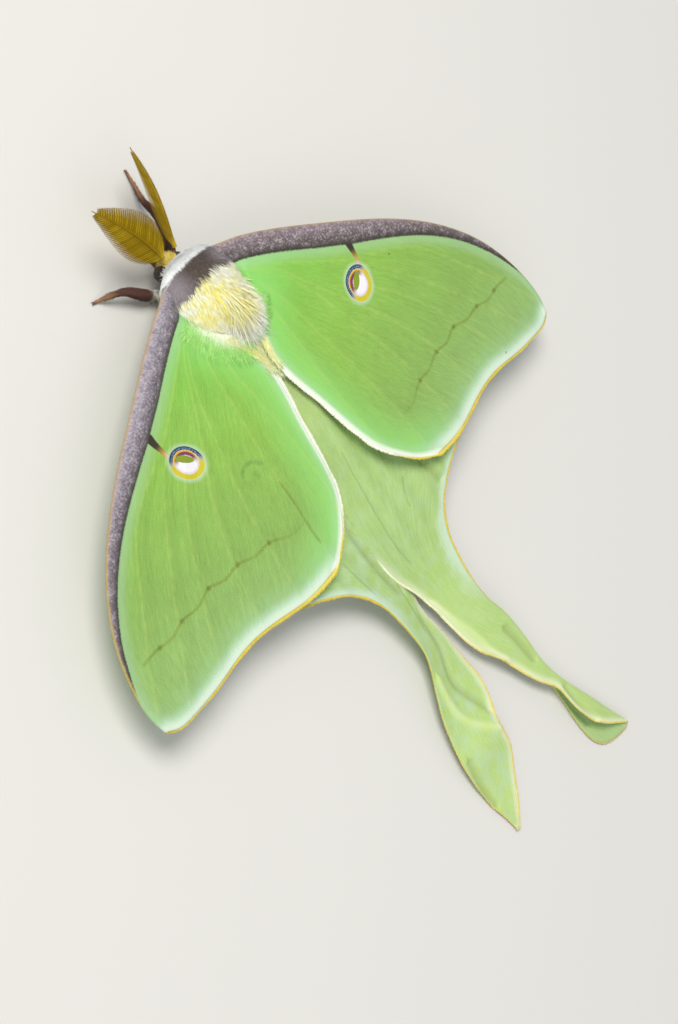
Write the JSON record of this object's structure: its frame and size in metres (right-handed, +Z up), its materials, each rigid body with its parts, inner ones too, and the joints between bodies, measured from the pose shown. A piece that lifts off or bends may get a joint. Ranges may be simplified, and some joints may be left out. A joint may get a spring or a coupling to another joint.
{
  "type": "luna moth",
  "caption": "Still, life-size luna moth at rest on a flat surface, wings spread, with feathery antennae and long hindwing tails, one of them folded at its end.",
  "frame": {"origin": "the middle of the bounding box in plan, at the level of the surface that the feet, the abdomen and the tail ends lie on", "axes": "+X towards the moth's left, +Y from its head to its tails, +Z up, away from the surface it rests on"},
  "size_m": [0.091, 0.1049, 0.011],
  "materials": {
    "forewing": "matt, of fine scales: green with a mauve leading band, an eyespot, and a whitish margin with an ochre fringe",
    "hindwing": "matt, of fine scales: paler green, whitish towards its margins, with a yellow fringe",
    "yellow_hair": "soft long hair, yellow to cream",
    "white_hair": "soft dense hair, white",
    "antenna": "matt golden brown",
    "leg": "short hair, rust red above and mauve below",
    "eye": "dark, faintly glossy, finely faceted"
  },
  "bodies": {
    "root": {"abdomen": "white_hair", "antenna_left": "antenna", "antenna_right": "antenna", "collar": "white_hair", "eye_left": "eye", "eye_right": "eye", "foreleg_left": "leg", "foreleg_right": "leg", "forewing_left": "forewing", "forewing_right": "forewing", "head": "yellow_hair", "hindleg_left": "leg", "hindleg_right": "leg", "hindwing_left": "hindwing", "hindwing_right": "hindwing", "midleg_left": "leg", "midleg_right": "leg", "tail_left": "hindwing", "tail_right": "hindwing", "thorax": "yellow_hair"}
  },
  "joints": []
}
